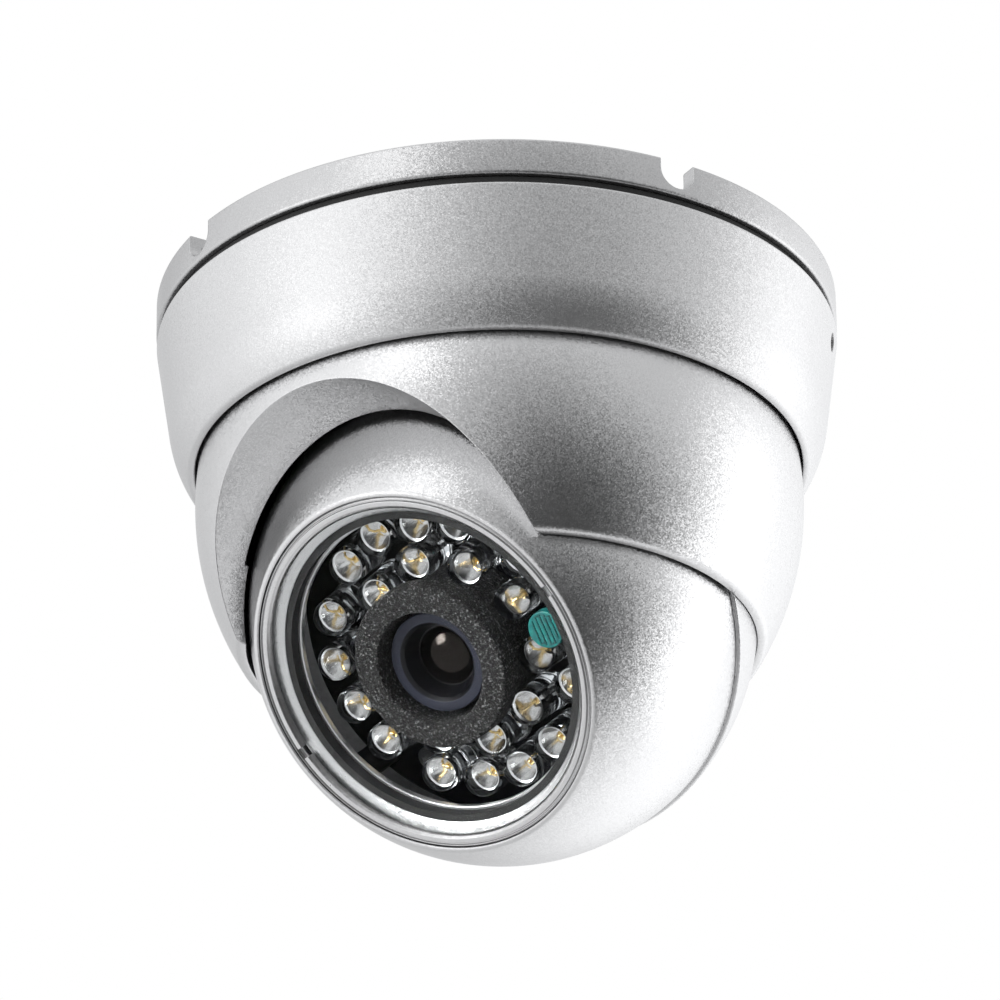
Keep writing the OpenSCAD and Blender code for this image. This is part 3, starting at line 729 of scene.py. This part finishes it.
def make_cover():
    ledge_z = COVER_BOT + 4.85
    low = height_angle(ledge_z - COVER_CURVE_Z, COVER_CURVE_R)
    high = -math.degrees(math.acos((COVER_BORE_R - COVER_CURVE_X) / COVER_CURVE_R))
    shoulder = rounded([
        (COVER_BORE_R, COVER_TOP), (BASE_R - 0.02, COVER_TOP, 0.3), (BASE_R - 0.3, COVER_TOP - 2),
    ])
    lip = [(COVER_LIP_R + 0.55, COVER_BOT), (COVER_LIP_R + 0.15, COVER_BOT), (COVER_LIP_R, COVER_BOT + 0.15),
           (COVER_LIP_R, ledge_z)]
    hollow = arc(COVER_CURVE_X, COVER_CURVE_Z, COVER_CURVE_R, low, high)
    cover = spin(shoulder[:-1] + cover_foot() + lip + hollow, OUTER_SEGMENTS)
    drill = place(rod(SET_SCREW_R, 6), Matrix.Rotation(math.pi / 2, 4, "Y"))
    place(drill, at(COVER_BORE_R - 2, 0, SET_SCREW_Z))
    cut(cover, copies(drill, [azimuth(deg) for deg in SET_SCREW_DEG]))
    finish(cover, "cover_body", "paint_cover", "base")
    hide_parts("outer_cover")


make_cover()

# ---------------------------------------------------------------- the turret


def make_turret():
    floor_z = BROW_Z + BROW_R + 1.6
    flange_top = top("turret_shell")
    flange_bot = flange_top - 2
    rim_in_r = ball_width(SEAT_R, RIM_Z - BALL_Z) + 0.1
    rim_out_r = ball_width(TURRET_R, RIM_Z - TURRET_CZ) - 0.3
    turret = spin(
        ball_arc(TURRET_R, TURRET_CZ, RIM_Z + 0.25, COVER_BOT - 0.1, 60)
        + [(NECK_R, COVER_BOT), (NECK_R, flange_bot), (FLANGE_R, flange_bot), (FLANGE_R, flange_top),
           (TURRET_BORE_R, flange_top), (TURRET_BORE_R, floor_z)]
        + ball_arc(CAVITY_R, BALL_Z, floor_z, SEAT_TOP, 30)
        + ball_arc(SEAT_R, BALL_Z, SEAT_TOP, RIM_Z + 0.1, 16)
        + [(rim_in_r, RIM_Z), (rim_out_r, RIM_Z)], OUTER_SEGMENTS)
    start, reach = REAR_R * 0.6, TURRET_R + 4
    widening = math.tan(BROW_DRAFT)
    near_r = BROW_R - (NECK_R - start) * widening
    brow = rod(near_r, reach - start, 256, near_r + (reach - start) * widening)
    place(brow, at(0, -start, BROW_Z) @ Matrix.Rotation(math.pi / 2, 4, "X"))
    groove_w = STEM_R + 1
    groove = block(-groove_w, groove_w, CAVITY_R - 8, TURRET_BORE_R + 1.7, SEAT_TOP, flange_top + 5)
    cut(turret, [brow, groove])
    finish(turret, "turret_body", "paint_turret", "turret")
    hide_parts("turret_shell")


make_turret()

# ---------------------------------------------------------------- the ball's shells


def make_front_shell():
    ledge_bot = LEDGE_H - LEDGE_T
    outline = (
        arc(0, 0, FRONT_R, height_angle(SEAM_H + 0.12, FRONT_R), height_angle(LIP_H - 0.12, FRONT_R), 90)
        + [(ball_width(FRONT_R, LIP_H) - 0.1, LIP_H),
           (FRONT_BORE_R + 0.12, LIP_H), (FRONT_BORE_R, LIP_H - 0.12),
           (FRONT_BORE_R, SEAT_H), (LAND_R + 0.9, SEAT_H), (LAND_R, SEAT_H - 0.45), (LAND_R, LEDGE_H),
           (LEDGE_R + 0.15, LEDGE_H), (LEDGE_R, LEDGE_H - 0.15), (LEDGE_R, ledge_bot)]
        + arc(0, 0, FRONT_IN_R, height_angle(ledge_bot, FRONT_IN_R), height_angle(COLLAR_H, FRONT_IN_R), 30)
        + [(COLLAR_R, COLLAR_H), (COLLAR_R, SEAM_H), (ball_width(FRONT_R, SEAM_H) - 0.12, SEAM_H)]
    )
    front = finish(spin(outline, OUTER_SEGMENTS), "front_shell_body", "paint_front", "head", where=LENS_FRAME)
    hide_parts("ball_front_shell")
    pillar = rod(PILLAR_R, ledge_bot - BOARD_TOP + 0.2, bevel=0.15)
    spots = [turned(deg) @ at(PILLAR_PCR, 0, BOARD_TOP) for deg in PILLAR_DEG]
    pillars = join(copies(pillar, spots))
    finish(pillars, "front_shell_pillars", "inner_black", "head", LENS_FRAME)


def make_rear_shell():
    edge = SEAM_H - 0.15
    spigot_r = COLLAR_R - 0.06
    outline = (
        arc(0, 0, REAR_R, -86, height_angle(edge - 0.2, REAR_R), 80)
        + [(ball_width(REAR_R, edge) - 0.2, edge), (spigot_r, edge), (spigot_r, COLLAR_H + 0.1),
           (spigot_r - 2, COLLAR_H + 0.1), (spigot_r - 2, edge - 2)]
        + arc(0, 0, REAR_IN_R, height_angle(edge - 2, REAR_IN_R), -85, 40)
    )
    rear = finish(spin(outline, OUTER_SEGMENTS), "rear_shell_body", "paint_rear", "ball", where=LENS_FRAME)
    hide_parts("ball_rear_shell")


make_front_shell()
make_rear_shell()

# ---------------------------------------------------------------- the bezel and the window


def make_bezel():
    seat = SEAT_H + CLEARANCE
    lip_bot = SEAT_H + WINDOW_T + 0.15
    groove_bot = BEZEL_TOP - 0.38
    bezel = spin(rounded([
        (WINDOW_R + CLEARANCE, seat), (BEZEL_R, seat), (BEZEL_R, BEZEL_TOP - 0.25, 0.1),
        (BEZEL_R - 0.25, BEZEL_TOP - 0.02, 0.1), (BEZEL_R - 0.3, BEZEL_TOP - 0.05, 0.06),
        (BEZEL_R - 0.35, groove_bot, 0.05), (BEZEL_R - 0.53, groove_bot, 0.05),
        (BEZEL_R - 0.59, BEZEL_TOP, 0.08), (BEZEL_IN_R + 0.3, BEZEL_TOP, 0.1),
        (BEZEL_IN_R, BEZEL_TOP - 0.25, 0.1), (BEZEL_IN_R - 0.25, lip_bot, 0.05),
        (WINDOW_R + CLEARANCE, lip_bot),
    ], 4), OUTER_SEGMENTS)
    reach_in, reach_out = BEZEL_IN_R - 2, BEZEL_IN_R + 1.1
    slot = block(reach_in, reach_out, -SLOT_W / 2, SLOT_W / 2, BEZEL_TOP - SLOT_D, BEZEL_TOP + 2)
    cut(bezel, copies(slot, [turned(deg) for deg in SLOT_DEG]))
    finish(bezel, "bezel_body", "paint_bezel", "head", where=LENS_FRAME)
    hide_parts("bezel_ring")


def make_window():
    low = SEAT_H + CLEARANCE
    high = low + WINDOW_T
    pane = spin(rounded([(0, low), (WINDOW_R, low, 0.15), (WINDOW_R, high, 0.15), (0, high)]))
    finish(pane, "window_pane", "window", "head", where=LENS_FRAME)
    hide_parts("window_glass")
    return pane


make_bezel()
window = make_window()

# ---------------------------------------------------------------- the lamps

# height of the chip in its cup above a lamp's foot
CHIP_H = 4.75
WIRE_R = 0.09
LAMP_LEAN_DEG = 2


def lamp_spots():
    """(angle in degrees, radius) of every lamp, the light sensor's place left out."""
    spots = []
    for g, middle in enumerate(LED_GROUP_DEG):
        for k in (-1.5, -0.5, 0.5, 1.5):
            if not (g == 0 and abs(k) < 1):
                spots.append((middle + k * LED_PITCH, LED_OUTER_R))
    return spots + [(LED_INNER_DEG + 36 * k, LED_INNER_R) for k in range(10)]


def lamp_body():
    """The clear resin body with its flange and dome."""
    foot = rounded([(0, 0), (LED_FLANGE_R, 0, 0.1), (LED_FLANGE_R, 0.95, 0.1), (LED_R, 1.0)], 3)
    dome = arc(0, LED_H - LED_R, LED_R, 0, 90, 20)
    return spin(foot + dome[:-1] + [(0, LED_H)], 40)


def lamp_frame():
    """The two posts of a lamp, one of which carries the mirror cup."""
    rim_h = CHIP_H + 0.9
    cup_bot = CHIP_H - 0.2
    cup = spin([(0, CHIP_H), (0.55, CHIP_H), (1.20, rim_h), (1.34, rim_h), (0.75, cup_bot), (0, cup_bot)], 28)
    half, bevel = 0.25, 0.06
    cup_leg = block(-1.45, -0.60, -half, half, 0, 3.4, bevel)
    cup_anvil = block(-1.45, 0.30, -half, half, 3.3, CHIP_H - 0.1, bevel)
    wire_leg = block(0.75, 1.25, -half, half, 0, 4.3, bevel)
    wire_head = block(0.62, 1.55, -half, half, 3.6, 4.5, bevel)
    return join([cup, cup_leg, cup_anvil, wire_leg, wire_head])


def lamp_wire():
    """The chip in the cup and the wire that crosses to the other post."""
    half = 0.22
    chip_top = CHIP_H + 0.25
    chip = block(-half, half, -half, half, CHIP_H, chip_top, 0.03)
    span, rise, drop, steps = 1.45, 0.82, 0.5, 5
    points = []
    for k in range(steps):
        t = k / (steps - 1)
        points.append(Vector((span * t, 0, chip_top + 4 * rise * t * (1 - t) - drop * t)))
    bits = [chip]
    for a, b in zip(points, points[1:]):
        way = (b - a).to_track_quat("Z", "Y").to_matrix().to_4x4()
        bits.append(place(rod(WIRE_R, (b - a).length + 0.05, 8), at(*a) @ way))
    return join(bits)


def make_lamps():
    """Bodies, frames and wires of all lamps, each frame leaning and turned a little its own way."""
    random.seed(7)
    straight, leaning = [], []
    for deg, radius in lamp_spots():
        tilt_x = Matrix.Rotation(math.radians(random.uniform(-LAMP_LEAN_DEG, LAMP_LEAN_DEG)), 4, "X")
        tilt_y = Matrix.Rotation(math.radians(random.uniform(-LAMP_LEAN_DEG, LAMP_LEAN_DEG)), 4, "Y")
        spot = turned(deg) @ at(radius, 0, BOARD_TOP + CLEARANCE)
        straight.append(spot)
        leaning.append(spot @ tilt_x @ tilt_y @ Matrix.Rotation(random.uniform(0, TURN), 4, "Z"))
    bodies = join(copies(lamp_body(), straight))
    finish(bodies, "lamp_bodies", "lamp_clear", "head", where=LENS_FRAME)
    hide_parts("ir_leds")
    frames = join(copies(lamp_frame(), leaning))
    finish(frames, "lamp_frames", "lead_frame", "head", LENS_FRAME)
    wires = join(copies(lamp_wire(), leaning))
    finish(wires, "lamp_wires", "lead_wire", "head", LENS_FRAME)
    return [bodies, frames, wires]


lamps = make_lamps()

# ---------------------------------------------------------------- light sensor, foam and lens


def make_photocell():
    """The teal disc with its dark zigzag line."""
    where = LENS_FRAME @ turned(LED_GROUP_DEG[0]) @ at(LED_OUTER_R, 0, 0)
    low = PHOTOCELL_H - 1.6
    high = PHOTOCELL_H - 0.1
    disc = spin(rounded([(0, low), (PHOTOCELL_R, low, 0.1), (PHOTOCELL_R, high, 0.15), (0, high)]), 64)
    finish(disc, "photocell_disc", "photocell_green", "head", where=where)
    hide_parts("photocell")
    reach, pitch, half = 2.15, 0.7, 0.1
    track_bot, track_top, bevel = high - 0.02, high + 0.06, 0.02
    bits = []
    for k in range(-2, 3):
        x = k * pitch
        end = ball_width(reach, x)
        bits.append(block(x - half, x + half, -end, end, track_bot, track_top, bevel))
        if k < 2:
            side = 1 if k % 2 else -1
            y = side * ball_width(reach, max(abs(x), abs(x + pitch)))
            bits.append(block(x - half, x + pitch + half, y - half, y + half, track_bot, track_top, bevel))
    finish(join(bits), "photocell_track", "cell_track", "head", where)
    return disc


def make_foam():
    ring = spin(rounded([
        (FOAM_IN_R, BOARD_TOP), (FOAM_LOW_R, BOARD_TOP), (FOAM_LOW_R, FOAM_STEP, 0.2),
        (FOAM_R, FOAM_STEP, 0.3), (FOAM_R, FOAM_TOP, 0.5), (FOAM_IN_R, FOAM_TOP, 0.4),
    ]), 160)
    finish(ring, "foam_ring", "black_foam", "head", where=LENS_FRAME)
    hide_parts("foam_baffle_ring")


def make_lens():
    shoulder = LENS_FACE - LENS_HEAD_L
    bore_r, rear_seat_r, rear_seat_h = 3.2, 3.8, 2.8
    barrel = spin(rounded([
        (LENS_THREAD_R, LENS_BOT), (LENS_THREAD_R, shoulder), (LENS_HEAD_R, shoulder, 0.2),
        (LENS_HEAD_R, LENS_FACE, 0.25), (LENS_CONE_R, LENS_FACE, 0.15),
        (LENS_CONE_R - 0.5, LENS_FACE - 0.5, 0.1),
        (LENS_GLASS_R + 0.2, LENS_GLASS_H), (bore_r, LENS_GLASS_H), (bore_r, rear_seat_h + 1.8),
        (rear_seat_r, rear_seat_h), (rear_seat_r, LENS_BOT),
    ]), 128)
    finish(barrel, "barrel_head", "lens_black", "lens", where=LENS_FRAME)
    finish_inside(barrel, "lens_cone", LENS_CONE_R - 0.05)
    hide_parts("lens_barrel")
    glass_top = LENS_GLASS_H + LENS_GLASS_RISE
    dome_r = (LENS_GLASS_R ** 2 + LENS_GLASS_RISE ** 2) / (2 * LENS_GLASS_RISE)
    centre = glass_top - dome_r
    dome = arc(0, centre, dome_r, height_angle(LENS_GLASS_H - centre, dome_r), 90, 24)
    glass = spin([(0, LENS_GLASS_H)] + dome[:-1] + [(0, glass_top)], 96)
    finish(glass, "front_element", "lens_glass", "lens", where=LENS_FRAME)
    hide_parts("lens_front_glass")
    return glass


photocell = make_photocell()
make_foam()
glass = make_lens()

# ---------------------------------------------------------------- CAD nodes that stay

SLOT_OF = {s["node"]: s["material_slot"] for s in frame["record"]["subparts"]}
for name, obj in frame["nodes"].items():
    if obj.hide_render:
        continue
    if obj.data.materials:
        for i in range(len(obj.data.materials)):
            obj.data.materials[i] = MATS[SLOT_OF[name]]
    else:
        obj.data.materials.append(MATS[SLOT_OF[name]])

# ---------------------------------------------------------------- stage and light

FLOOR_Z_M = -0.6
FLOOR_SIDE_M = 8.0
# every softbox faces the middle of the camera from the same distance
MIDDLE_M = Vector((0, 0, -0.04))
LIGHT_DISTANCE_M = 0.9
# the tent around it: its even strength, the least it may fall to, and its patches, each with a
# direction (right, up, towards the viewer), full and faded angles in degrees, and a strength
LIGHT_FLOOR = 0.78
DARKEST = 0.02
LIGHT_PATCHES = [
    ((0.42, -0.10, 0.90), 12, 55, -0.72),
    ((0.12, 0.80, 0.58), 5, 34, -0.28),
    ((-1.0, 0.05, 0.08), 12, 64, 0.42),
    ((0.84, -0.30, -0.55), 22, 60, 0.62),
    ((0.50, -0.80, -0.35), 15, 50, 0.26),
    ((-0.2, 1.0, -0.2), 15, 60, 0.36),
]


def make_stage():
    bpy.ops.object.select_all(action="DESELECT")
    bpy.ops.mesh.primitive_plane_add(size=FLOOR_SIDE_M, location=(0, 0, FLOOR_Z_M))
    floor = bpy.context.active_object
    floor.name = "floor"
    n = Nodes("floor_paper")
    fine = n.noise(40.0, 3.0, 0.5)
    colour = n.ramp(fine.outputs["Fac"], (0.3, grey(0.78)), (0.7, grey(0.82)))
    floor.data.materials.append(n.finish(n.principled(Base_Color=colour, Roughness=0.8)))
    floor.visible_glossy = False


def softbox(name, direction, width, height, watts):
    """An area light that faces the object. The direction is (right, up, towards the viewer)."""
    data = bpy.data.lights.new(name, "AREA")
    data.shape = "RECTANGLE"
    data.size, data.size_y = width, height
    data.energy = watts
    lamp = bpy.data.objects.new(name, data)
    bpy.context.scene.collection.objects.link(lamp)
    way = view_way(direction)
    spot = MIDDLE_M + way * LIGHT_DISTANCE_M
    lamp.matrix_world = Matrix.Translation(spot) @ way.to_track_quat("Z", "Y").to_matrix().to_4x4()
    return lamp


def view_way(direction):
    """A direction given as (right, up, towards the viewer), in the object's frame."""
    return (CAM_RIGHT * direction[0] + CAM_UP * direction[1] - CAM_AHEAD * direction[2]).normalized()


def make_world():
    """A white tent, darker around the viewer and brighter at both sides, above and below.

    The backdrop that the camera sees is plain white.
    """
    world = bpy.data.worlds.new("studio")
    bpy.context.scene.world = world
    world.use_nodes = True
    tree = world.node_tree
    tree.nodes.clear()

    def maths(operation, a, b):
        node = tree.nodes.new("ShaderNodeMath")
        node.operation = operation
        for socket, value in zip(node.inputs, (a, b)):
            if isinstance(value, bpy.types.NodeSocket):
                tree.links.new(value, socket)
            else:
                socket.default_value = value
        return node.outputs[0]

    way = tree.nodes.new("ShaderNodeTexCoord").outputs["Generated"]

    def lobe(direction, inner, outer, strength):
        """A soft patch of light, full within one angle of its middle and gone past another."""
        dot = tree.nodes.new("ShaderNodeVectorMath")
        dot.operation = "DOT_PRODUCT"
        tree.links.new(way, dot.inputs[0])
        dot.inputs[1].default_value = view_way(direction)
        fade = tree.nodes.new("ShaderNodeMapRange")
        fade.interpolation_type = "SMOOTHSTEP"
        tree.links.new(dot.outputs["Value"], fade.inputs["Value"])
        fade.inputs["From Min"].default_value = math.cos(math.radians(outer))
        fade.inputs["From Max"].default_value = math.cos(math.radians(inner))
        return maths("MULTIPLY", fade.outputs["Result"], strength)

    total = LIGHT_FLOOR
    for patch in LIGHT_PATCHES:
        total = maths("ADD", lobe(*patch), total)
    total = maths("MAXIMUM", total, DARKEST)
    out = tree.nodes.new("ShaderNodeOutputWorld")
    mix = tree.nodes.new("ShaderNodeMixShader")
    path = tree.nodes.new("ShaderNodeLightPath")
    seen = tree.nodes.new("ShaderNodeBackground")
    seen.inputs["Color"].default_value = grey(1.0)
    lit = tree.nodes.new("ShaderNodeBackground")
    lit.inputs["Color"].default_value = (0.985, 0.99, 1.0, 1)
    tree.links.new(total, lit.inputs["Strength"])
    tree.links.new(path.outputs["Is Camera Ray"], mix.inputs[0])
    tree.links.new(lit.outputs[0], mix.inputs[1])
    tree.links.new(seen.outputs[0], mix.inputs[2])
    tree.links.new(mix.outputs[0], out.inputs["Surface"])


make_stage()
make_world()
softbox("right_box", (1.0, -0.1, -0.15), 0.5, 0.9, 1.0)
softbox("left_box", (-0.87, 0.2, 0.47), 0.4, 0.65, 0.9)
softbox("top_box", (-0.5, 0.78, 0.38), 0.3, 0.3, 0.35)
# small lights that only the clear and shiny inner pieces see, as glints
optics = bpy.data.collections.new("optics")
for obj in (*lamps, window, glass, photocell):
    optics.objects.link(obj)
sparks = [
    softbox("window_spark", (-0.84, 0.22, 0.50), 0.34, 0.42, 8.0),
    softbox("side_spark", (0.62, 0.55, 0.56), 0.10, 0.16, 1.0),
    softbox("low_spark", (-0.30, -0.62, 0.72), 0.10, 0.10, 0.5),
]
for spark in sparks:
    spark.light_linking.receiver_collection = optics

bpy.context.scene.view_settings.view_transform = "Standard"
bpy.context.scene.view_settings.look = "None"
